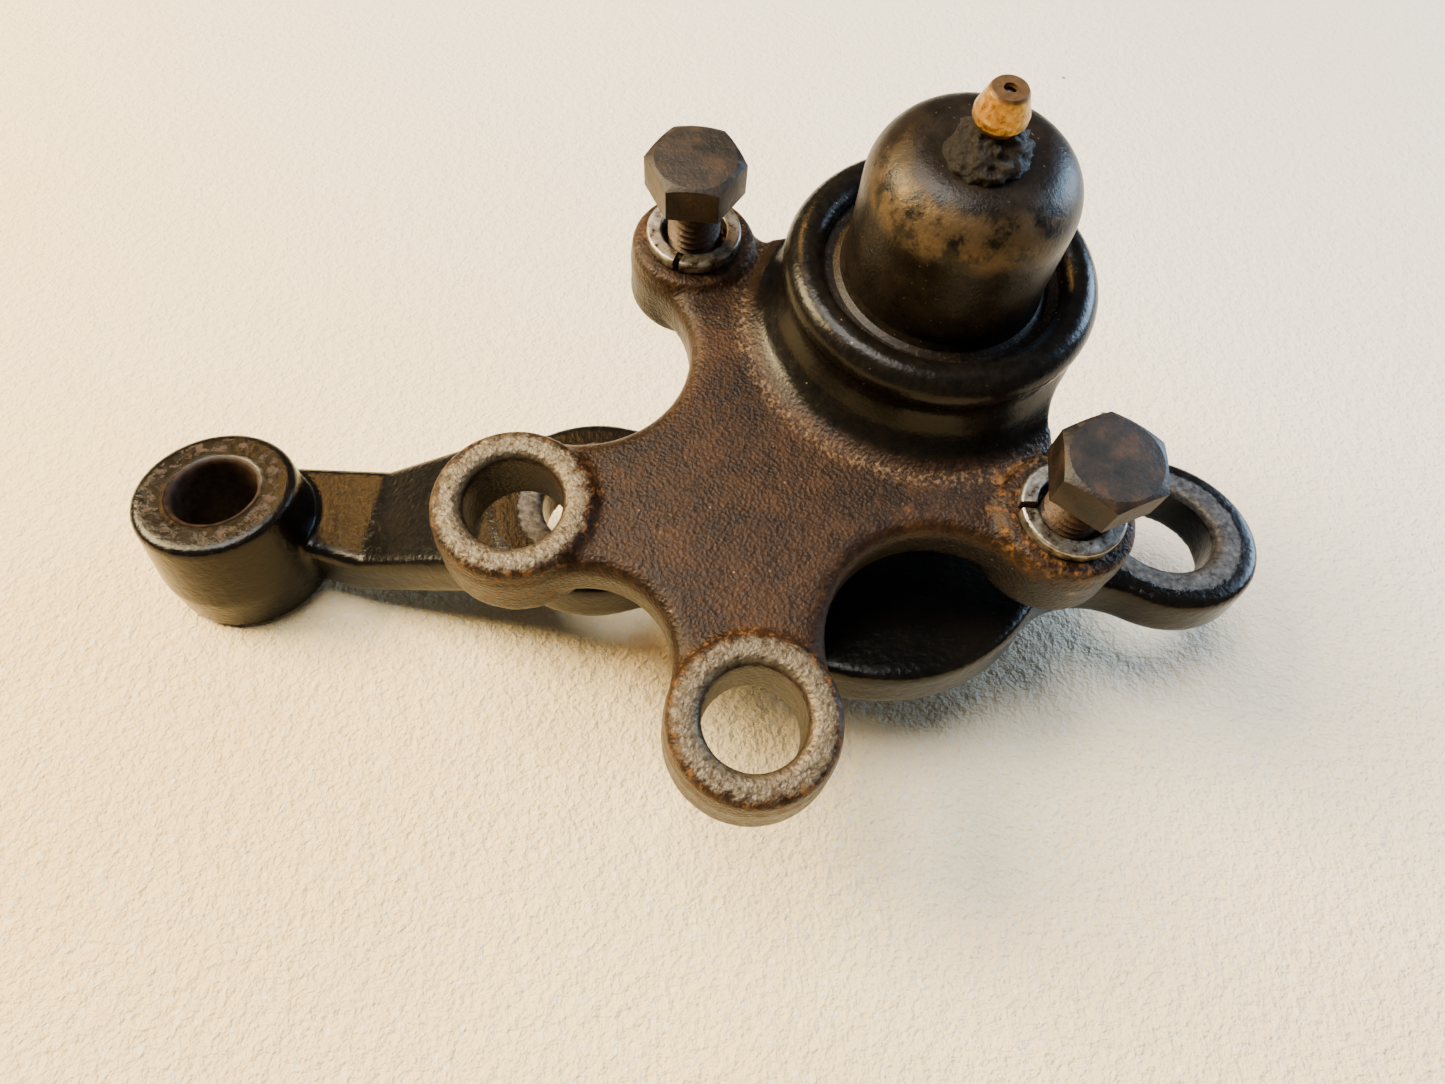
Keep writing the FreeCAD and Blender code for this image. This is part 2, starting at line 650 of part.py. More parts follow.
def groove_band(body, name, radius):
    """Trim a band to the globe of the given radius."""
    before = body.Shape.Volume
    sketch = new_sketch(body, name, "XZ_Plane")
    reach = value(radius)
    top = Vector(0, reach, 0)
    foot = Vector(0, -reach, 0)
    arc = Part.Arc(foot, Vector(reach, 0, 0), top)
    far = reach * 2
    shapes = [arc, Part.LineSegment(top, Vector(0, far, 0)),
              Part.LineSegment(Vector(0, far, 0), Vector(far, far, 0)),
              Part.LineSegment(Vector(far, far, 0), Vector(far, -far, 0)),
              Part.LineSegment(Vector(far, -far, 0), Vector(0, -far, 0)),
              Part.LineSegment(Vector(0, -far, 0), foot)]
    for shape in shapes:
        sketch.addGeometry(shape)
    sketch.addConstraint(Sketcher.Constraint("Coincident", 0, 2, 1, 1))
    for step in range(1, 5):
        sketch.addConstraint(Sketcher.Constraint("Coincident", step, 2, step + 1, 1))
    sketch.addConstraint(Sketcher.Constraint("Coincident", 5, 2, 0, 1))
    sketch.addConstraint(Sketcher.Constraint("Coincident", 0, 3, -1, 1))
    sketch.addConstraint(Sketcher.Constraint("PointOnObject", 0, 1, -2))
    sketch.addConstraint(Sketcher.Constraint("PointOnObject", 0, 2, -2))
    constrain(sketch, "Radius", 0, formula=radius)
    for step, (across, along) in ((2, ("0", radius)), (3, (radius, radius)),
                                  (4, (radius, "-(" + radius + ")")), (5, ("0", "-(" + radius + ")"))):
        place_point(sketch, step, 1, across if across == "0" else "2 * (" + across + ")",
                    "2 * (" + along + ")")
    feature = body.newObject("PartDesign::Groove", name + "_groove")
    feature.Profile = sketch
    feature.ReferenceAxis = (sketch, ["V_Axis"])
    feature.Angle = 360
    document.recompute()
    if body.Shape.Volume >= before:
        raise ValueError(name + " cuts nothing")


def make_seat(label, corners):
    """Sintered piece, turned outside, that cups the liner above or below the ball's middle."""
    body = on_ball_joint(new_body(label))
    revolve(body, label + "_blank", corners)
    cup = body.newObject("PartDesign::SubtractiveSphere", label + "_cup")
    cup.setExpression("Radius", bound("ball_radius + liner_gap * 2 + liner_wall"))
    document.recompute()


def make_preload_spring():
    """Coil spring between the upper seat and the dome's roof, keeping the ball tight."""
    wire = value("spring_wire") / 2
    radius = value("spring_radius")
    foot = value("seat_crown_top") + wire + 0.03
    roof = value("dome_top - cover_sheet") - wire - 0.6
    turns = (roof - foot) / value("spring_pitch")
    helix = Part.makeHelix(value("spring_pitch"), turns * value("spring_pitch"), radius)
    helix.translate(Vector(0, 0, foot))
    section = Part.Wire(Part.makeCircle(wire, Vector(radius, 0, foot), Vector(0, 1, 0)))
    coil = Part.Wire(helix.Edges).makePipeShell([section], True, True)
    spring = document.addObject("Part::Feature", "preload_spring_coil")
    spring.Shape = coil
    keep(on_ball_joint(spring), "preload_spring")


# ---------------------------------------------------------------- grease nipple

def make_grease_nipple():
    """Brass nipple: a collar on the dome, a waist and the button head for the grease gun."""
    body = on_ball_joint(new_body("grease_nipple"))
    inner = "nipple_bore_radius"
    tip = "nipple_tip_height"
    revolve(body, "nipple", [
        (inner, "dome_top - cover_sheet - 1"), ("nipple_thread_radius", "dome_top - cover_sheet - 1"),
        ("nipple_thread_radius", "dome_top + 0.02"), ("nipple_base_radius", "dome_top + 0.02"),
        ("nipple_base_radius", "dome_top + 1.4"), ("nipple_base_radius - 0.6", "dome_top + 1.9"),
        ("nipple_neck_radius", "dome_top + 2.4"), ("nipple_neck_radius", tip + " - 5"),
        ("nipple_head_radius", tip + " - 3.7"), ("nipple_head_radius", tip + " - 2.9"),
        ("nipple_tip_radius + 0.25", tip + " - 0.35"), ("nipple_tip_radius", tip),
        ("nipple_mouth_radius", tip), ("nipple_mouth_radius", tip + " - 0.5"),
        (inner, tip + " - 1")])


def make_nipple_check_ball():
    """Steel ball that a spring holds against the nipple's mouth."""
    body = on_ball_joint(new_body("nipple_check_ball"))
    solid_of_rotation(body, "AdditiveSphere", "valve", {"Radius": "check_ball_radius"},
                      height="nipple_tip_height - 1.7")


def make_nipple_check_spring():
    """Fine coil spring under the check ball."""
    wire = 0.18
    radius = value("nipple_bore_radius") - wire - 0.08
    foot = value("dome_top - cover_sheet - 0.6")
    roof = value("nipple_tip_height - 1.7 - check_ball_radius") - wire - 0.75
    pitch = (roof - foot) / 7
    helix = Part.makeHelix(pitch, roof - foot, radius)
    helix.translate(Vector(0, 0, foot))
    section = Part.Wire(Part.makeCircle(wire, Vector(radius, 0, foot), Vector(0, 1, 0)))
    spring = document.addObject("Part::Feature", "nipple_spring_coil")
    spring.Shape = Part.Wire(helix.Edges).makePipeShell([section], True, True)
    keep(on_ball_joint(spring), "nipple_check_spring")


# ---------------------------------------------------------------- flange bolts and washers

def make_flange_bolt(side, turn):
    """Hexagon bolt part-screwed into a threaded ear; its head stands proud of the washer."""
    across, along, _ = EARS[side]
    top = side + "_bolt_head_top"
    body = on_ball_joint(new_body("flange_bolt_" + side))
    head = new_sketch(body, side + "_head", "XY_Plane", top + " - bolt_head_height")
    corner = "bolt_across_flats / sqrt(3)"
    draw_polygon(head, [("%s + %s * cos(%d deg)" % (across, corner, angle),
                         "%s + %s * sin(%d deg)" % (along, corner, angle))
                        for angle in range(turn, turn + 360, 60)])
    blank = pad(body, head, "bolt_head_height")
    soften(body, blank, "Chamfer", "0.75", is_level(top))
    shank = {"Radius": "bolt_radius", "Height": top + " - bolt_head_height - bolt_end"}
    threaded = solid_of_rotation(body, "AdditiveCylinder", side + "_shank", shank,
                                 across, along, "bolt_end")
    soften(body, threaded, "Chamfer", "0.8", is_level("bolt_end"))


def make_lock_washer(side, turn):
    """Split spring washer lying on the ear round the bolt."""
    across, along, _ = EARS[side]
    body = on_ball_joint(new_body("lock_washer_" + side))
    blank = new_sketch(body, side + "_washer", "XY_Plane", "ear_top + 0.02")
    draw_circle(blank, across, along, "washer_radius")
    draw_circle(blank, across, along, "washer_hole_radius")
    ring = pad(body, blank, "washer_thickness")
    soften(body, ring, "Fillet", "0.4",
           lambda edge, middle: edge.BoundBox.ZLength < 1e-4)
    split = new_sketch(body, side + "_split", "XY_Plane", "ear_top + washer_thickness + 1")
    inward = "washer_hole_radius - 1"
    outward = "washer_radius + 1"
    corners = []
    for reach, edge in ((inward, "-"), (outward, "-"), (outward, "+"), (inward, "+")):
        width = "%s washer_gap / 2" % edge
        corners.append((
            "%s + (%s) * cos(%d deg) - (%s) * sin(%d deg)" % (across, reach, turn, width, turn),
            "%s + (%s) * sin(%d deg) + (%s) * cos(%d deg)" % (along, reach, turn, width, turn)))
    draw_polygon(split, corners)
    pocket(body, split, "washer_thickness + 2")


# ---------------------------------------------------------------- dust boot and rings

def boot_skin(inset, past):
    """Skin of straight-sided bands, from a round foot on the stud to a round lip on the
    leaning housing. A skin that hollows another out runs a little past it at both ends."""
    lean = math.radians(value("housing_lean"))
    middle = Vector(0, 0, value("ball_height"))

    def hoop(radius, height, share):
        tilt = lean * share
        normal = Vector(0, -math.sin(tilt), math.cos(tilt))
        centre = Vector(0, 0, height) if share == 0 else middle + normal * height
        return Part.Wire(Part.makeCircle(radius - inset, centre, normal))

    foot = value("boot_foot_height")
    foot_radius = value("boot_foot_radius")
    lip = value("boot_lip_height")
    mouth = value("boot_mouth_radius")
    hoops = [hoop(foot_radius, foot - past, 0), hoop(foot_radius, foot + 1.7, 0),
             hoop(mouth - 6.2, lip - 7.4, 0.5), hoop(mouth - 0.2, lip - 4.2, 1),
             hoop(mouth, lip + 0.7 + past, 1)]
    return Part.makeLoft(hoops, True, True)


def make_dust_boot():
    """Rubber gaiter closing the gap between the housing's skirt and the stud's neck."""
    boot = document.addObject("Part::Feature", "dust_boot_skin")
    boot.Shape = boot_skin(0, 0).cut(boot_skin(value("boot_wall"), 0.4))
    keep(on_arm(boot), "dust_boot")


def make_wire_ring(label, radius, height, place):
    """A round wire ring about the body's axis."""
    body = place(new_body(label))
    ring = body.newObject("PartDesign::AdditiveTorus", label + "_wire")
    ring.setExpression("Radius1", bound(radius))
    ring.setExpression("Radius2", bound("ring_wire_radius"))
    ring.setExpression("Placement.Base.z", bound(height))
    document.recompute()


# ---------------------------------------------------------------- the whole part

make_steering_arm()
make_ball_stud()
make_castle_nut()
make_cotter_pin()
make_housing()
make_dome_cover()
make_ring("cover_gasket", "dome_radius - 0.6", "cover_flange_radius - 0.1",
          "cover_flange_foot - gasket_sheet", "gasket_sheet - 0.02", on_ball_joint)
make_ball_liner()
make_seat("lower_ball_seat", [
    ("6", "throat_height + 0.05"), ("seat_radius - 0.8", "throat_height + 0.05"),
    ("seat_radius", "throat_height + 0.85"), ("seat_radius", "-0.2"), ("6", "-0.2")])
make_seat("upper_ball_seat", [
    ("1.5", "0.2"), ("seat_radius", "0.2"), ("seat_radius", "seat_top - 0.5"),
    ("seat_radius - 0.5", "seat_top"), ("seat_crown_radius", "seat_top"),
    ("seat_crown_radius", "seat_crown_top - 0.6"), ("seat_crown_radius - 0.6", "seat_crown_top"),
    ("1.5", "seat_crown_top")])
make_preload_spring()
make_grease_nipple()
make_nipple_check_ball()
make_nipple_check_spring()
make_flange_bolt("left", 8)
make_flange_bolt("right", 35)
make_lock_washer("left", 200)
make_lock_washer("right", 130)
make_dust_boot()
make_wire_ring("boot_upper_ring", "boot_mouth_radius + ring_wire_radius + 0.05",
               "boot_lip_height", on_ball_joint)
make_wire_ring("boot_lower_ring", "boot_foot_radius + ring_wire_radius + 0.05",
               "boot_foot_height + 0.8", on_arm)

document.recompute()
for item in document.Objects:
    if "Invalid" in item.State or "Error" in item.State:
        raise ValueError("%s is %s" % (item.Name, item.State))
for piece in sub_parts:
    if piece.Shape.isNull() or not piece.Shape.isValid():
        raise ValueError(piece.Label + " has no valid shape")

os.makedirs("parts", exist_ok=True)
for piece in sub_parts:
    piece.Shape.exportStep("parts/%s.step" % piece.Label)
    print("%-20s %d solid %10.1f mm3" % (piece.Label, len(piece.Shape.Solids), piece.Shape.Volume))
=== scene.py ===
import json
import math

import bpy
from mathutils import Matrix, Vector


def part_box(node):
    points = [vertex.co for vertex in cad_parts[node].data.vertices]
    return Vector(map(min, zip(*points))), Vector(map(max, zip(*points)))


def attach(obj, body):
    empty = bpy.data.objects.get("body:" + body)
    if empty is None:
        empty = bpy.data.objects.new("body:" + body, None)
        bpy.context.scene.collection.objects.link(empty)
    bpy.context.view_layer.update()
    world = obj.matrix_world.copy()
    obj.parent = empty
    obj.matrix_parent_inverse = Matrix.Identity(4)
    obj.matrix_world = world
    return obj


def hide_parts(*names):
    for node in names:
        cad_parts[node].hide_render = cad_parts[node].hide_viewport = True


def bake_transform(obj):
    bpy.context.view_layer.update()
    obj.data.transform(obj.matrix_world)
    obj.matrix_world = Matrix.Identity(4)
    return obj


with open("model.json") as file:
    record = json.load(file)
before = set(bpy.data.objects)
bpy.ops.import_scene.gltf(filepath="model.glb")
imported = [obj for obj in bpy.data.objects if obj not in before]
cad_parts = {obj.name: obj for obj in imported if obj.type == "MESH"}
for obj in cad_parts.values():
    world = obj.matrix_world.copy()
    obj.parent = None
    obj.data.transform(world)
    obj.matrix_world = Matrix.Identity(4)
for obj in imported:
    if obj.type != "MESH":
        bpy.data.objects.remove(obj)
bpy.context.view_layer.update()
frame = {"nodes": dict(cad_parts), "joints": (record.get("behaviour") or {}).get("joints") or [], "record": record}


# ---------------------------------------------------------------- table, camera and lamps
# A sheet of pale packing foam on a bench, lit by a warm window at the far left, an amber lamp
# beyond it, a cooler window at the right and the white ceiling above.
MM = 0.001


class Value:
    """A number that varies over a surface; the usual operators add Math nodes."""

    def __init__(self, finish, socket):
        self.finish, self.socket = finish, socket

    def maths(self, operation, first, second=0.0):
        node = self.finish.add("ShaderNodeMath", {"operation": operation}, {0: first, 1: second})
        return Value(self.finish, node.outputs[0])

    def __add__(self, other):
        return self.maths("ADD", self, other)

    __radd__ = __add__

    def __sub__(self, other):
        return self.maths("SUBTRACT", self, other)

    def __rsub__(self, other):
        return self.maths("SUBTRACT", other, self)

    def __mul__(self, other):
        return self.maths("MULTIPLY", self, other)

    __rmul__ = __mul__

    def __pow__(self, other):
        return self.maths("POWER", self, other)

    def most(self, other):
        """The greater of two values."""
        return self.maths("MAXIMUM", self, other)

    def rise(self, low, high):
        """0 below low, 1 above high, smooth between; a high below low makes it a fall."""
        node = self.finish.add(
            "ShaderNodeMapRange",
            {"interpolation_type": "SMOOTHSTEP"},
            {"Value": self, "From Min": low, "From Max": high, "To Min": 0.0, "To Max": 1.0},
        )
        return Value(self.finish, node.outputs["Result"])


class Finish:
    """A material built from nodes around one Principled shader."""

    def __init__(self, name, place=None):
        self.material = bpy.data.materials.new(name)
        self.material.use_nodes = True
        self.tree = self.material.node_tree
        self.tree.nodes.clear()
        self.shader = self.add("ShaderNodeBsdfPrincipled", {}, {})
        output = self.add("ShaderNodeOutputMaterial", {}, {})
        self.tree.links.new(self.shader.outputs[0], output.inputs["Surface"])
        turn = place or Matrix.Identity(4)
        coordinates = self.add("ShaderNodeTexCoord", {}, {})
        mapping = self.add(
            "ShaderNodeMapping",
            {"vector_type": "TEXTURE"},
            {
                "Vector": coordinates.outputs["Object"],
                "Location": turn.translation,
                "Rotation": turn.to_euler(),
                "Scale": (MM, MM, MM),
            },
        )
        self.here = mapping.outputs[0]
        parts = self.add("ShaderNodeSeparateXYZ", {}, {0: self.here})
        self.x, self.y, self.z = [Value(self, socket) for socket in parts.outputs]

    def add(self, kind, settings, sockets):
        """Any node: its type, its settings, and the values or links of its sockets."""
        node = self.tree.nodes.new(kind)
        for setting, value in settings.items():
            setattr(node, setting, value)
        for key, value in sockets.items():
            if isinstance(value, Value):
                value = value.socket
            if isinstance(value, bpy.types.NodeSocket):
                self.tree.links.new(value, node.inputs[key])
            else:
                node.inputs[key].default_value = value
        return node

    def noise(self, per_mm, detail=4.0, roughness=0.55):
        """Cloudy pattern, so many lumps to the millimetre."""
        node = self.add(
            "ShaderNodeTexNoise",
            {},
            {"Vector": self.here, "Scale": per_mm, "Detail": detail, "Roughness": roughness},
        )
        return Value(self, node.outputs["Fac"])

    def grains(self, per_mm):
        """Distance to the nearest of many scattered grains."""
        node = self.add("ShaderNodeTexVoronoi", {}, {"Vector": self.here, "Scale": per_mm})
        return Value(self, node.outputs["Distance"])

    def off(self, across, along):
        """Distance from an upright axis, in millimetres."""
        return ((self.x - across) ** 2 + (self.y - along) ** 2) ** 0.5

    def outward_edges(self, low, high):
        """1 on outward edges, from the shape of the surface."""
        node = self.add("ShaderNodeNewGeometry", {}, {})
        return Value(self, node.outputs["Pointiness"]).rise(low, high)

    def mix(self, mask, under, over):
        """One colour laid over another where the mask is 1."""
        node = self.add("ShaderNodeMix", {"data_type": "RGBA"}, {0: mask, 6: under, 7: over})
        return node.outputs[2]

    def colours(self, value, stops):
        """A colour for each value, from stops given as position and colour."""
        ramp = self.add("ShaderNodeValToRGB", {}, {0: value})
        first, last = ramp.color_ramp.elements
        first.position, first.color = stops[0][0], (*stops[0][1], 1)
        last.position, last.color = stops[-1][0], (*stops[-1][1], 1)
        for position, colour in stops[1:-1]:
            ramp.color_ramp.elements.new(position).color = (*colour, 1)
        return ramp.outputs[0]

    def surface(self, colour=None, roughness=None, metallic=None, relief=None, depth=0.2, **fixed):
        """Feed the shader: a relief is given in millimetres of height."""
        for socket, value in (
            ("Base Color", colour),
            ("Roughness", roughness),
            ("Metallic", metallic),
        ):
            if isinstance(value, Value):
                value = value.socket
            if isinstance(value, bpy.types.NodeSocket):
                self.tree.links.new(value, self.shader.inputs[socket])
            elif value is not None:
                self.shader.inputs[socket].default_value = value
        if relief is not None:
            bump = self.add(
                "ShaderNodeBump", {}, {"Height": relief, "Strength": 1.0, "Distance": depth * MM}
            )
            self.tree.links.new(bump.outputs[0], self.shader.inputs["Normal"])
        for socket, value in fixed.items():
            self.shader.inputs[socket.replace("_", " ")].default_value = value
        return self.material


def paint(piece, material):
    """Give a piece one material all over."""
    piece.data.materials.clear()
    piece.data.materials.append(material)


def alone(piece):
    """Select only this piece and make it the active one."""
    bpy.ops.object.select_all(action="DESELECT")
    piece.select_set(True)
    bpy.context.view_layer.objects.active = piece


bpy.ops.object.select_all(action="DESELECT")
floor_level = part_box("steering_arm")[0][2]
bpy.ops.mesh.primitive_grid_add(
    x_subdivisions=8, y_subdivisions=8, size=3.0, location=(0, 0, floor_level - 0.1 * MM)
)
floor = bpy.context.object
floor.name = "packing_foam"
foam = Finish("packing_foam")
haze = foam.noise(0.006, 3)
stain = foam.noise(0.021, 5, 0.6).rise(0.66, 0.78)
beads = foam.grains(0.55)
glints = foam.grains(0.45).rise(0.24, 0.14)
cream = foam.colours(haze, [(0.3, (0.94, 0.70, 0.34)), (0.7, (0.95, 0.79, 0.48))])
# Painted light: the foam turns cool grey-white towards the far right, for the cool window light there, and stays
# warm cream at the front and left.
painted_cool_light = (foam.y + foam.x * 0.8).rise(-140.0, 160.0)
foam_colour = foam.mix(painted_cool_light * 0.8, cream, (0.88, 0.87, 0.84, 1))
foam_colour = foam.mix(stain * 0.35, foam_colour, (0.60, 0.44, 0.24, 1))
foam_colour = foam.mix(glints * 0.6, foam_colour, (0.95, 0.93, 0.88, 1))
specks = foam.grains(0.035).rise(0.035, 0.02)
foam_colour = foam.mix(specks, foam_colour, (0.10, 0.07, 0.05, 1))
paint(
    floor,
    foam.surface(
        foam_colour,
        roughness=0.55 - 0.3 * glints,
        relief=beads * 0.6 + foam.noise(1.4, 3),
        depth=0.8,
        Specular_IOR_Level=0.35,
    ),
)

camera_data = bpy.data.cameras.new("camera")
camera_data.sensor_width = 36.0
camera_data.lens = 22.8
camera_place = Vector((-32.67, -108.33, 139.56)) * MM
camera_data.clip_start = 0.01
camera = bpy.data.objects.new("camera", camera_data)
bpy.context.scene.collection.objects.link(camera)
back = -Vector((0.0317, 0.5884, -0.8079)).normalized()
up = Vector((-0.0448, 0.8084, 0.5870))
side = up.cross(back).normalized()
up = back.cross(side)
camera.matrix_world = Matrix.Translation(camera_place) @ Matrix(
    (side, up, back)
).transposed().to_4x4()
bpy.context.scene.camera = camera

for lamp_name, place, aim, size, power, colour in (
    ("window_left", (-0.88, 0.14, 0.78), (-0.03, 0, 0), 0.50, 50.0, (1.0, 0.76, 0.40)),
    ("lamp_glow", (-0.42, 0.66, 0.84), (-0.08, 0, 0), 0.20, 4.2, (1.0, 0.52, 0.14)),
    ("ceiling", (-0.30, 0.05, 1.25), (0, 0, 0), 0.6, 25.0, (1.0, 0.95, 0.86)),
    ("window_right", (0.90, 0.40, 0.40), (0.02, 0, 0), 0.45, 16.0, (0.50, 0.72, 1.0)),
):
    lamp_data = bpy.data.lights.new(lamp_name, "AREA")
    lamp_data.size, lamp_data.energy, lamp_data.color = size, power, colour
    lamp = bpy.data.objects.new(lamp_name, lamp_data)
    bpy.context.scene.collection.objects.link(lamp)
    lamp.location = place
    lamp.rotation_euler = (Vector(aim) - Vector(place)).to_track_quat("-Z", "Y").to_euler()
world = bpy.data.worlds.new("room")
world.use_nodes = True
world.node_tree.nodes["Background"].inputs["Color"].default_value = (0.95, 0.90, 0.82, 1)
world.node_tree.nodes["Background"].inputs["Strength"].default_value = 0.16
bpy.context.scene.world = world


# ---------------------------------------------------------------- ball joint housing
# Iron casting with a four-eared flange and a barrel, left as cast and oiled brown. The two
# far ears are spot-faced bare, and the barrel's mouth is rolled over the cover.
def loose_copy(node, name):
    """A merged copy of a designed piece, riding on nothing yet."""
    piece = frame["nodes"][node].copy()
    piece.data = piece.data.copy()
    piece.name = name
    for key in list(piece.keys()):
        del piece[key]
    piece.parent = None
    piece.matrix_world = Matrix.Identity(4)
    piece.hide_render = piece.hide_viewport = False
    bpy.context.scene.collection.objects.link(piece)
    alone(piece)
    bpy.ops.object.mode_set(mode="EDIT")
    bpy.ops.mesh.select_all(action="SELECT")
    bpy.ops.mesh.remove_doubles(threshold=2e-6)
    bpy.ops.object.mode_set(mode="OBJECT")
    return piece


def softened(node, name, voxel, rounds):
    """A copy with its edges drawn soft, as a casting's are."""
    piece = loose_copy(node, name)
    skin = piece.modifiers.new("skin", "REMESH")
    skin.mode, skin.voxel_size = "VOXEL", voxel
    skin.use_smooth_shade = True
    bpy.ops.object.modifier_apply(modifier="skin")
    worn = piece.modifiers.new("worn", "SMOOTH")
    worn.factor, worn.iterations = 0.5, rounds
    bpy.ops.object.modifier_apply(modifier="worn")
    return piece


mounts = {mount["name"]: mount for mount in frame["record"]["mounts"]}
joints = {joint["name"]: joint for joint in frame["joints"]}
ball = Vector(joints["ball_swivel"]["pos_m"])
far_holes = [Vector(mounts["control_arm_hole_" + s]["pos_m"]) for s in ("far_left", "far_right")]
housing_up = Vector(mounts["control_arm_hole_far_left"]["axis"]).normalized()
across = ball - (far_holes[0] + far_holes[1]) / 2
across = (across - housing_up * across.dot(housing_up)).normalized()
on_housing = Matrix.Translation(ball) @ Matrix(
    (across, housing_up.cross(across), housing_up)
).transposed().to_4x4()


def ear_at(point):
    """An ear's place across and along the flange, in millimetres."""
    local = on_housing.inverted() @ Vector(point)
    return local.x / MM, local.y / MM


def middle(node):
    """The middle of a designed piece's box."""
    low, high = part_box(node)
    return (Vector(low) + Vector(high)) / 2


far_ears = [ear_at(hole) for hole in far_holes]
bolt_ears = {s: ear_at(middle("lock_washer_" + s)) for s in ("left", "right")}

housing = softened("ball_joint_housing", "housing_casting", 0.55 * MM, 5)
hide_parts("ball_joint_housing")
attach(housing, "housing")
cast = Finish("cast_iron_housing", on_housing)
from_axis = cast.off(0, 0)
cloud = cast.noise(0.09, 5)
mottle = cast.noise(0.7, 6, 0.65)
sand = cast.noise(2.6, 3, 0.6)
oiled = cast.colours(
    cloud * 0.5 + mottle * 0.5,
    [
        (0.36, (0.006, 0.0032, 0.0018)),
        (0.5, (0.018, 0.0085, 0.0036)),
        (0.66, (0.040, 0.018, 0.007)),
    ],
)
barrel = cast.z.rise(0.9, 2.2) * from_axis.rise(28.5, 25.5)
black = cast.colours(mottle, [(0.3, (0.002, 0.002, 0.002)), (0.75, (0.008, 0.0065, 0.005))])
colour = cast.mix(barrel, oiled, black)
# Painted shade: everything below the top of the flange, its lower sides, underside and skirt, is darkened to near
# black.
painted_shade_below = cast.z.rise(-0.6, -2.5)
colour = cast.mix(painted_shade_below * 0.8, colour, (0.007, 0.006, 0.005, 1))
bare = None
rust = cast.noise(0.32, 6, 0.7).rise(0.62, 0.72) * 0.35
spread = 9.9
for ear in far_ears:
    ring = cast.off(*ear) + (cast.noise(0.5, 5, 0.7) - 0.5) * 5.0
    face = ring.rise(spread + 0.4, spread - 0.5) * cast.z.rise(1.0, 1.7)
    bare = face if bare is None else bare.most(face)
    crumbs = ring.rise(spread - 2.2, spread) * ring.rise(spread + 2.6, spread + 0.6)
    rust = rust.most(crumbs * cast.noise(0.9, 4, 0.7).rise(0.52, 0.62))
ring = cast.off(*bolt_ears["right"]) + (cast.noise(0.4, 5, 0.7) - 0.5) * 6.0
rust = rust.most(ring.rise(12.0, 8.5) * cast.z.rise(-1.0, 0.5) * mottle.rise(0.48, 0.64) * 0.75)
ring = cast.off(*bolt_ears["left"]) + (cast.noise(0.4, 5, 0.7) - 0.5) * 3.0
rust = rust.most(ring.rise(10.0, 8.0) * mottle.rise(0.52, 0.68) * 0.3)
grey = cast.colours(
    cast.noise(1.1, 6, 0.7),
    [(0.34, (0.035, 0.024, 0.015)), (0.48, (0.095, 0.075, 0.050)), (0.72, (0.16, 0.135, 0.098))],
)
orange = cast.colours(
    mottle,
    [(0.3, (0.07, 0.026, 0.008)), (0.55, (0.17, 0.070, 0.018)), (0.75, (0.34, 0.18, 0.055))],
)
# Outward edges lightened: partly rubbed wear, partly a painted glint along the edges.
worn_edge_and_glint = cast.outward_edges(0.515, 0.56) * cast.noise(0.6, 5, 0.7).rise(0.45, 0.62)
colour = cast.mix(worn_edge_and_glint * 0.7 * (1 - barrel), colour, (0.16, 0.125, 0.095, 1))
colour = cast.mix(rust * 0.75 * (1 - barrel), colour, orange)
colour = cast.mix(bare, colour, grey)
seam = from_axis.rise(25.8, 26.8) * from_axis.rise(29.2, 27.6) * cast.z.rise(0.2, 0.8)
seam = seam * cast.z.rise(3.4, 2.2) * cast.noise(1.5, 4, 0.7).rise(0.50, 0.60)
colour = cast.mix(seam * 0.4, colour, (0.22, 0.14, 0.07, 1))
dust = cast.grains(0.55).rise(0.10, 0.05) * cast.noise(0.2, 3).rise(0.5, 0.62)
colour = cast.mix(dust * 0.5, colour, (0.30, 0.22, 0.13, 1))
cast_grain = (sand * 0.9 + cast.grains(1.7) * 0.7) * (1 - barrel * 0.8)
paint(
    housing,
    cast.surface(
        colour,
        roughness=(0.38 + (mottle - 0.5) * 0.4) * (1 - barrel)
        + barrel * (0.24 + (mottle - 0.5) * 0.2)
        + rust * 0.25,
        metallic=bare * 0.55 + (1 - bare) * 0.12,
        relief=cast_grain + mottle * 0.2 + rust * 0.4,
        depth=0.13,
        Specular_IOR_Level=0.16,
    ),
)


# ---------------------------------------------------------------- cover and gasket
# Deep-drawn steel cap held under the rolled rim over a fibre gasket. It was painted satin
# black, and handling has rubbed its shoulder through to brown metal.
pressed = Finish("satin_black_cover", on_housing)
blotch = pressed.noise(0.35, 6, 0.68)
fine = pressed.noise(2.2, 4, 0.6)
skin = pressed.colours(blotch, [(0.3, (0.003, 0.0025, 0.002)), (0.75, (0.013, 0.009, 0.006))])
shoulder = pressed.z.rise(25.2, 28.4) * pressed.z.rise(32.5, 31.0)
facing = (pressed.x * -0.86 + pressed.y * -0.1).rise(1.0, 11.0)
facing_near = (pressed.x * -0.35 + pressed.y * -0.90).rise(3.0, 12.0) * 0.9
rubbed = shoulder * facing.most(facing_near) * blotch.rise(0.38, 0.58) * (0.35 + fine * 0.9)
skin = pressed.mix(rubbed * 0.65, skin, (0.14, 0.095, 0.05, 1))
foot = pressed.z.rise(13.0, 10.2)
skin = pressed.mix(foot * fine.rise(0.54, 0.66) * 0.35, skin, (0.16, 0.11, 0.07, 1))
grit = pressed.grains(0.9).rise(0.12, 0.06) * pressed.noise(0.15, 3).rise(0.45, 0.6)
skin = pressed.mix(grit * 0.5, skin, (0.16, 0.11, 0.07, 1))
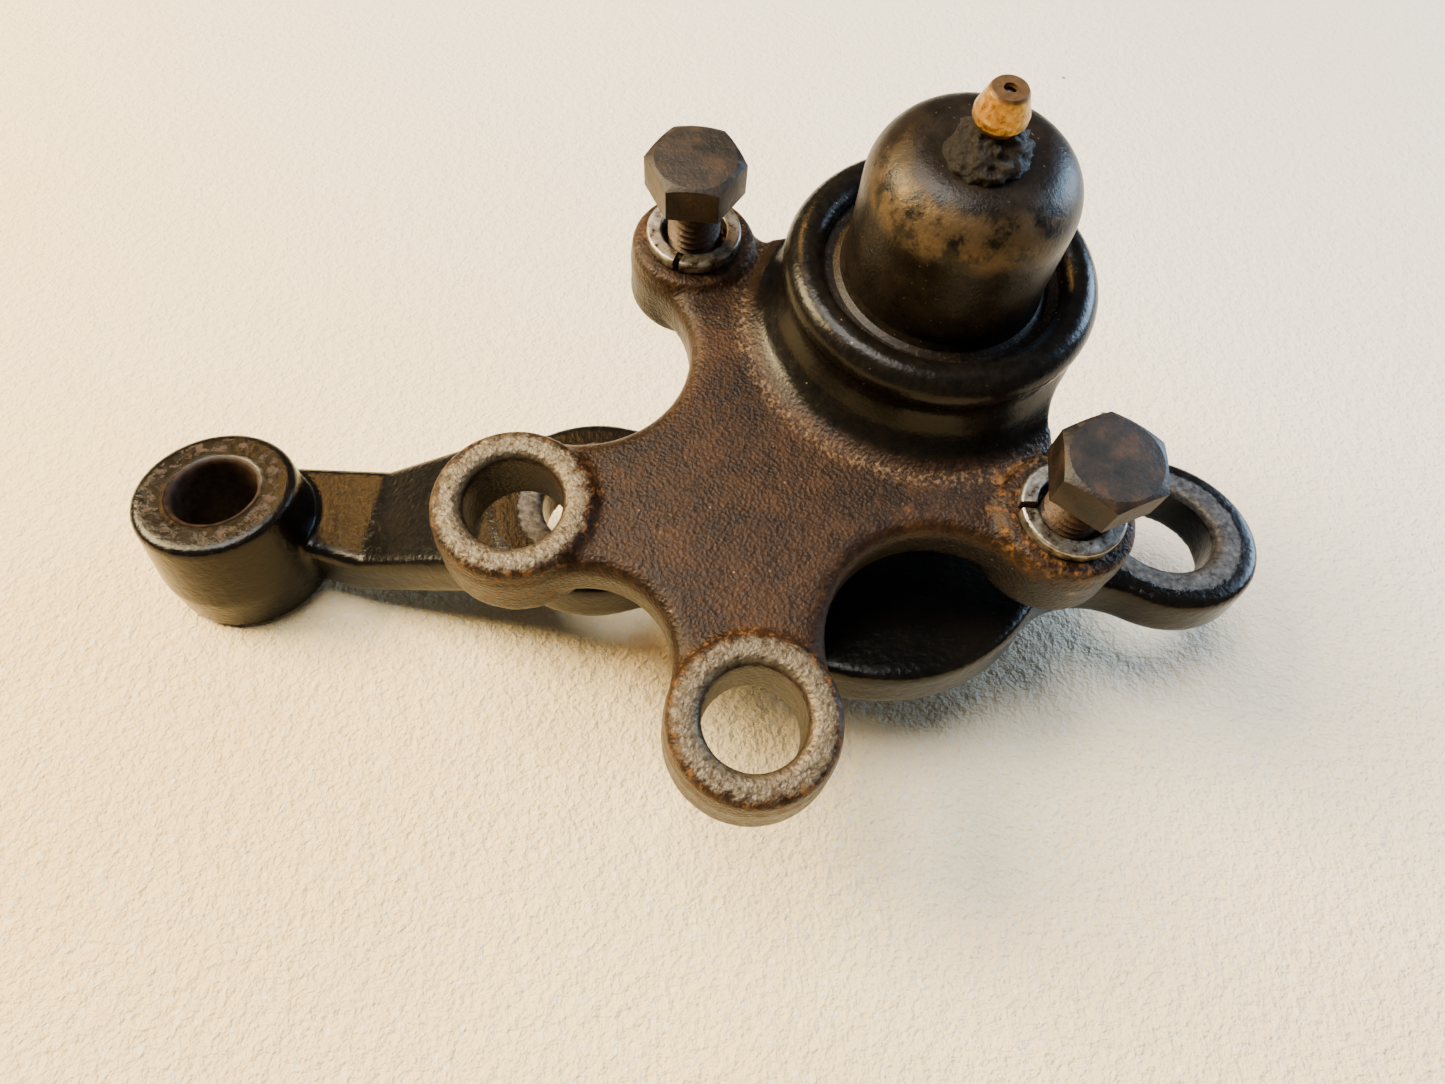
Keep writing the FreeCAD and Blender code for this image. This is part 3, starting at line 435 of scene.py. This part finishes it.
paint(
    frame["nodes"]["dome_cover"],
    pressed.surface(
        skin,
        roughness=0.33 + (blotch - 0.5) * 0.3 + rubbed * 0.12,
        metallic=rubbed * 0.7 + 0.05,
        relief=fine * 0.6 + blotch * 0.8 + grit,
        depth=0.10,
        Specular_IOR_Level=0.18,
    ),
)
fibre = Finish("gasket_fibre", on_housing)
fuzz = fibre.noise(3.0, 4, 0.7)
paint(
    frame["nodes"]["cover_gasket"],
    fibre.surface(
        fibre.colours(fuzz, [(0.3, (0.05, 0.04, 0.03)), (0.7, (0.13, 0.10, 0.07))]),
        roughness=0.8 + (fuzz - 0.5) * 0.2,
        relief=fuzz,
    ),
)


# ---------------------------------------------------------------- grease nipple and its dirt
# Brass-plated nipple screwed into the cover's crown, dulled on top where the gun grips it.
# Old grease and road dirt have caked round its foot.
brass = Finish("brass_nipple", on_housing)
dull = brass.noise(1.3, 5, 0.65)
top = brass.z.rise(40.2, 40.7).most(brass.z.rise(36.8, 35.8))
face_colour = brass.colours(
    dull, [(0.3, (0.16, 0.075, 0.014)), (0.55, (0.42, 0.23, 0.045)), (0.75, (0.62, 0.40, 0.11))]
)
face_colour = brass.mix(top * 0.9, face_colour, (0.050, 0.026, 0.012, 1))
paint(
    frame["nodes"]["grease_nipple"],
    brass.surface(
        face_colour,
        roughness=0.28 + (dull - 0.4) * 0.3 + top * 0.2,
        metallic=0.95 - top * 0.4,
        relief=dull,
        depth=0.08,
    ),
)
cake_size, cake_place = (6.3, 5.6, 5.0), (-0.9, -0.5, 32.0)
lump_size, lump_height = 1.7, 3.0
bpy.ops.object.select_all(action="DESELECT")
bpy.ops.mesh.primitive_uv_sphere_add(segments=48, ring_count=32, radius=1.0)
caked = bpy.context.object
caked.name = "caked_grease"
caked.scale = [half_width * MM for half_width in cake_size]
bpy.ops.object.transform_apply(location=True, rotation=True, scale=True)
lump_pattern = bpy.data.textures.new("grease_lumps", "CLOUDS")
lump_pattern.noise_scale = lump_size * MM
lump_pattern.noise_depth = 3
lumps = caked.modifiers.new("lumps", "DISPLACE")
lumps.texture, lumps.strength, lumps.mid_level = lump_pattern, lump_height * MM, 0.7
bpy.ops.object.modifier_apply(modifier="lumps")
bpy.ops.object.mode_set(mode="EDIT")
bpy.ops.mesh.select_all(action="SELECT")
bpy.ops.mesh.subdivide(number_cuts=1)
bpy.ops.object.mode_set(mode="OBJECT")
caked.matrix_world = on_housing @ Matrix.Translation(Vector(cake_place) * MM)
bpy.ops.object.transform_apply(location=True, rotation=True, scale=True)
bpy.ops.object.shade_smooth()
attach(caked, "housing")
dirt = Finish("caked_dirt", on_housing)
clod = dirt.noise(1.4, 6, 0.7)
paint(
    caked,
    dirt.surface(
        dirt.colours(
            clod,
            [
                (0.3, (0.003, 0.002, 0.0015)),
                (0.6, (0.010, 0.007, 0.005)),
                (0.8, (0.045, 0.028, 0.016)),
            ],
        ),
        roughness=0.42 + (clod - 0.5) * 0.6,
        relief=clod,
        depth=0.5,
        Specular_IOR_Level=0.25,
    ),
)


# ---------------------------------------------------------------- flange bolts
# Hexagon-headed steel bolts, black from the works and browned with rust, part screwed into
# the flange's near ears with a split lock washer lying loose under each head.
oxide = Finish("black_bolt_steel", on_housing)
patch = oxide.noise(0.28, 6, 0.68)
speck = oxide.noise(1.8, 4, 0.6)
bolt_colour = oxide.colours(
    patch,
    [(0.35, (0.005, 0.0045, 0.004)), (0.52, (0.012, 0.008, 0.006)), (0.70, (0.040, 0.020, 0.009))],
)
bolt_edge = oxide.outward_edges(0.53, 0.60)
bolt_colour = oxide.mix(bolt_edge * 0.35, bolt_colour, (0.09, 0.065, 0.05, 1))
shank_zone = oxide.z.rise(10.8, 9.5)
bolt_colour = oxide.mix(
    shank_zone * 0.5,
    bolt_colour,
    oxide.colours(speck, [(0.3, (0.012, 0.006, 0.003)), (0.7, (0.09, 0.042, 0.018))]),
)
bolt_steel = oxide.surface(
    bolt_colour,
    roughness=0.50 + (patch - 0.5) * 0.5,
    metallic=0.45,
    relief=speck * 0.8 + patch,
    depth=0.12,
    Specular_IOR_Level=0.5,
)
ACROSS_FLATS, HEAD_HEIGHT, HEAD_CHAMFER, BLANK_RADIUS = 12.6, 5.6, 0.7, 7.25
BOLT_END, CORE_RADIUS, CORE_OVERLAP = -12.9, 3.35, 0.6
PITCH, RIDGE_RADIUS, RIDGE_PLACE, PLAIN_TIP, THREAD_SHORT = 1.25, 0.44, 3.52, 1.0, 1.6
for hand, head_top, head_turn in (("left", 17.5, 8.0), ("right", 16.8, 35.0)):
    bolt_place = on_housing @ Matrix.Translation(Vector((*bolt_ears[hand], 0)) * MM)
    head_foot = head_top - HEAD_HEIGHT
    bpy.ops.object.select_all(action="DESELECT")
    bpy.ops.mesh.primitive_cylinder_add(
        vertices=6,
        radius=ACROSS_FLATS / math.sqrt(3) * MM,
        depth=HEAD_HEIGHT * MM,
        location=(0, 0, (head_top - HEAD_HEIGHT / 2) * MM),
        rotation=(0, 0, math.radians(30 + head_turn)),
    )
    bolt = bpy.context.object
    bolt.name = "hex_bolt_" + hand
    bpy.ops.mesh.primitive_cylinder_add(
        vertices=96,
        radius=BLANK_RADIUS * MM,
        depth=(HEAD_HEIGHT - HEAD_CHAMFER) * MM,
        location=(0, 0, (head_top - HEAD_CHAMFER - (HEAD_HEIGHT - HEAD_CHAMFER) / 2) * MM),
    )
    blank = bpy.context.object
    bpy.ops.object.mode_set(mode="EDIT")
    bpy.ops.mesh.select_all(action="DESELECT")
    bpy.ops.object.mode_set(mode="OBJECT")
    for face in blank.data.polygons:
        face.select = face.normal.z > 0.9
    bpy.ops.object.mode_set(mode="EDIT")
    bpy.ops.mesh.extrude_region_move(
        TRANSFORM_OT_translate={"value": (0, 0, HEAD_CHAMFER * MM)}
    )
    bpy.ops.transform.resize(value=(0.80, 0.80, 1.0))
    bpy.ops.object.mode_set(mode="OBJECT")
    alone(bolt)
    turned = bolt.modifiers.new("turned", "BOOLEAN")
    turned.operation, turned.object = "INTERSECT", blank
    bpy.ops.object.modifier_apply(modifier="turned")
    bpy.data.objects.remove(blank)
    rubbed_edges = bolt.modifiers.new("rubbed", "BEVEL")
    rubbed_edges.width, rubbed_edges.segments = 0.22 * MM, 3
    rubbed_edges.limit_method, rubbed_edges.angle_limit = "ANGLE", math.radians(14)
    bpy.ops.object.modifier_apply(modifier="rubbed")

    bpy.ops.object.select_all(action="DESELECT")
    bpy.ops.mesh.primitive_cylinder_add(
        vertices=40,
        radius=CORE_RADIUS * MM,
        depth=(head_foot + CORE_OVERLAP - BOLT_END) * MM,
        location=(0, 0, (head_foot + CORE_OVERLAP + BOLT_END) / 2 * MM),
    )
    core = bpy.context.object
    tip = core.modifiers.new("tip", "BEVEL")
    tip.width, tip.segments, tip.limit_method = 0.5 * MM, 2, "ANGLE"
    bpy.ops.object.modifier_apply(modifier="tip")
    bpy.ops.object.select_all(action="DESELECT")
    bpy.ops.mesh.primitive_circle_add(
        vertices=3,
        radius=RIDGE_RADIUS * MM,
        location=(RIDGE_PLACE * MM, 0, (BOLT_END + PLAIN_TIP) * MM),
        rotation=(math.pi / 2, math.pi / 2, 0),
    )
    ridge = bpy.context.object
    bpy.ops.object.transform_apply(location=True, rotation=True, scale=True)
    helix = ridge.modifiers.new("helix", "SCREW")
    helix.steps = helix.render_steps = 36
    helix.screw_offset = PITCH * MM
    helix.iterations = int((head_foot - BOLT_END - THREAD_SHORT) / PITCH)
    bpy.ops.object.modifier_apply(modifier="helix")
    bpy.ops.object.mode_set(mode="EDIT")
    bpy.ops.mesh.select_all(action="SELECT")
    bpy.ops.mesh.fill_holes(sides=4)
    bpy.ops.mesh.select_all(action="SELECT")
    bpy.ops.mesh.normals_make_consistent(inside=False)
    bpy.ops.object.mode_set(mode="OBJECT")
    alone(bolt)
    core.select_set(True)
    ridge.select_set(True)
    bpy.ops.object.join()
    bpy.ops.object.transform_apply(location=True, rotation=True, scale=True)
    bolt.matrix_world = bolt_place
    bpy.ops.object.transform_apply(location=True, rotation=True, scale=True)
    bpy.ops.object.shade_smooth_by_angle(angle=math.radians(32))
    paint(bolt, bolt_steel)
    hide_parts("flange_bolt_" + hand)
    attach(bolt, "housing")

zinc = Finish("zinc_washer", on_housing)
grime = zinc.noise(0.7, 6, 0.7)
scratch = zinc.noise(4.0, 3, 0.6)
washer_zinc = zinc.surface(
    zinc.colours(
        grime, [(0.34, (0.06, 0.04, 0.025)), (0.5, (0.24, 0.22, 0.19)), (0.7, (0.42, 0.42, 0.40))]
    ),
    roughness=0.30 + (grime - 0.5) * 0.6 + scratch * 0.1,
    metallic=0.9,
    relief=grime + scratch * 0.3,
    depth=0.08,
)
for hand in ("left", "right"):
    paint(frame["nodes"]["lock_washer_" + hand], washer_zinc)


# ---------------------------------------------------------------- steering arm
# Steel forging painted gloss black: two strut bolt bosses, the stud boss in the middle and
# a beam to the tie rod boss. Tools and bolts have worn the paint off its faces and edges.
arm = softened("steering_arm", "arm_forging", 0.58 * MM, 4)
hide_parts("steering_arm")
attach(arm, "arm")
gloss = Finish("gloss_black_arm")
flow = gloss.noise(0.16, 4)
peel = gloss.noise(0.9, 4, 0.6)
chip = gloss.noise(0.55, 6, 0.72)
rod_place = Vector(mounts["tie_rod_taper"]["pos_m"]) / MM
strut = mounts["strut_bolt_holes"]
strut_middle = Vector(strut["pos_m"]) / MM
half_spacing = strut["dims"]["spacing_x_mm"] / 2
film = gloss.colours(flow, [(0.3, (0.002, 0.002, 0.002)), (0.7, (0.005, 0.004, 0.003))])
rod_ring = gloss.off(rod_place.x, rod_place.y) + (chip - 0.5) * 4.0
rod_top = gloss.z.rise(rod_place.z - 1.2, rod_place.z - 0.4)
rod_worn = rod_ring.rise(11.8, 11.0) * rod_ring.rise(8.4, 9.4) * rod_top * chip.rise(0.50, 0.64)
bore_rust = gloss.off(rod_place.x, rod_place.y).rise(7.6, 7.0)
strut_bare = None
for across_row in (-half_spacing, half_spacing):
    seat_ring = gloss.off(strut_middle.x + across_row, strut_middle.y) + (chip - 0.5) * 2.6
    seat_height = gloss.z.rise(strut_middle.z - 0.8, strut_middle.z - 0.3)
    seat_face = seat_ring.rise(12.6, 12.0) * seat_height
    strut_bare = seat_face if strut_bare is None else strut_bare.most(seat_face)
arm_edge = gloss.outward_edges(0.52, 0.57) * chip.rise(0.44, 0.58)
arm_colour = gloss.mix(arm_edge * 0.6, film, (0.08, 0.055, 0.038, 1))
brown = gloss.colours(chip, [(0.35, (0.008, 0.005, 0.003)), (0.7, (0.050, 0.026, 0.014))])
arm_colour = gloss.mix(rod_worn.most(bore_rust), arm_colour, brown)
seat_metal = gloss.colours(
    gloss.noise(0.9, 6, 0.7),
    [(0.35, (0.03, 0.025, 0.02)), (0.55, (0.10, 0.092, 0.085)), (0.75, (0.19, 0.18, 0.17))],
)
arm_colour = gloss.mix(strut_bare * 0.9, arm_colour, seat_metal)
stripped = rod_worn.most(bore_rust).most(strut_bare).most(arm_edge)
paint(
    arm,
    gloss.surface(
        arm_colour,
        roughness=0.16 + (chip - 0.5) * 0.12 + stripped * 0.38,
        metallic=strut_bare * 0.6 + arm_edge * 0.3,
        relief=peel + chip * 0.6 - stripped * 0.4,
        depth=0.12,
        Specular_IOR_Level=0.18,
    ),
)


# ---------------------------------------------------------------- ball stud, nut and pin
# Hardened stud whose cone is drawn into the arm by a slotted nut under the arm, with a
# hairpin through its slots. They sit in the dry inside the strut pilot.
bright = Finish("bright_steel")
turned_marks = bright.noise(2.4, 4, 0.6)
oil = bright.noise(0.2, 4)
bright_steel = bright.surface(
    bright.colours(oil, [(0.3, (0.20, 0.18, 0.16)), (0.7, (0.46, 0.45, 0.43))]),
    roughness=0.26 + (turned_marks - 0.5) * 0.3,
    metallic=1.0,
    relief=turned_marks,
    depth=0.04,
)
for node in ("ball_stud", "castle_nut"):
    paint(frame["nodes"][node], bright_steel)
wire = Finish("spring_wire")
drawn = wire.noise(1.6, 4, 0.6)
wire_steel = wire.surface(
    wire.colours(drawn, [(0.3, (0.12, 0.10, 0.08)), (0.7, (0.34, 0.31, 0.27))]),
    roughness=0.35 + (drawn - 0.5) * 0.3,
    metallic=0.9,
    relief=drawn,
    depth=0.05,
)
for node in (
    "cotter_pin", "preload_spring", "nipple_check_spring", "nipple_check_ball",
    "boot_upper_ring", "boot_lower_ring",
):
    paint(frame["nodes"][node], wire_steel)


# ---------------------------------------------------------------- seats and liner
# Sintered iron seats either side of a slippery plastic liner carry the ball. They are shut
# in by the cover and soaked in grease.
sinter = Finish("sintered_seat")
pores = sinter.grains(1.6)
sintered = sinter.surface(
    sinter.colours(pores, [(0.1, (0.03, 0.027, 0.024)), (0.6, (0.13, 0.12, 0.11))]),
    roughness=0.55 - pores * 0.2,
    metallic=0.6,
    relief=pores,
    depth=0.08,
)
for node in ("lower_ball_seat", "upper_ball_seat"):
    paint(frame["nodes"][node], sintered)
slippery = Finish("liner_plastic")
swirl = slippery.noise(0.5, 4)
paint(
    frame["nodes"]["ball_liner"],
    slippery.surface(
        slippery.colours(swirl, [(0.3, (0.55, 0.50, 0.38)), (0.7, (0.72, 0.68, 0.55))]),
        roughness=0.35 + (swirl - 0.5) * 0.2,
        relief=swirl,
        depth=0.05,
    ),
)


# ---------------------------------------------------------------- dust boot
# Moulded rubber bellows clamped by a wire ring on the stud boss and another on the housing's
# skirt. It is cut at its waist into a lower and an upper half.
rubber = Finish("boot_rubber")
bloom = rubber.noise(0.5, 5, 0.65)
boot_rubber = rubber.surface(
    rubber.colours(bloom, [(0.3, (0.010, 0.010, 0.010)), (0.75, (0.040, 0.036, 0.032))]),
    roughness=0.62 + (bloom - 0.5) * 0.3,
    relief=bloom + rubber.noise(2.5, 3) * 0.4,
    depth=0.15,
)
foot_drop, waist_drop, mouth_drop = 18.2, 14.5, 12.2
boot_waist = ball - housing_up * waist_drop * MM
for half_name, keep_above in (("boot_lower_half", False), ("boot_upper_half", True)):
    half = loose_copy("dust_boot", half_name)
    bpy.ops.object.mode_set(mode="EDIT")
    bpy.ops.mesh.select_all(action="SELECT")
    bpy.ops.mesh.bisect(
        plane_co=boot_waist,
        plane_no=housing_up,
        use_fill=False,
        clear_inner=keep_above,
        clear_outer=not keep_above,
    )
    bpy.ops.mesh.select_all(action="SELECT")
    bpy.ops.mesh.subdivide(number_cuts=2)
    bpy.ops.object.mode_set(mode="OBJECT")
    bpy.ops.object.shade_smooth_by_angle(angle=math.radians(50))
    paint(half, boot_rubber)
    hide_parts("dust_boot")
    if keep_above:
        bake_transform(half)
    else:
        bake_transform(half)
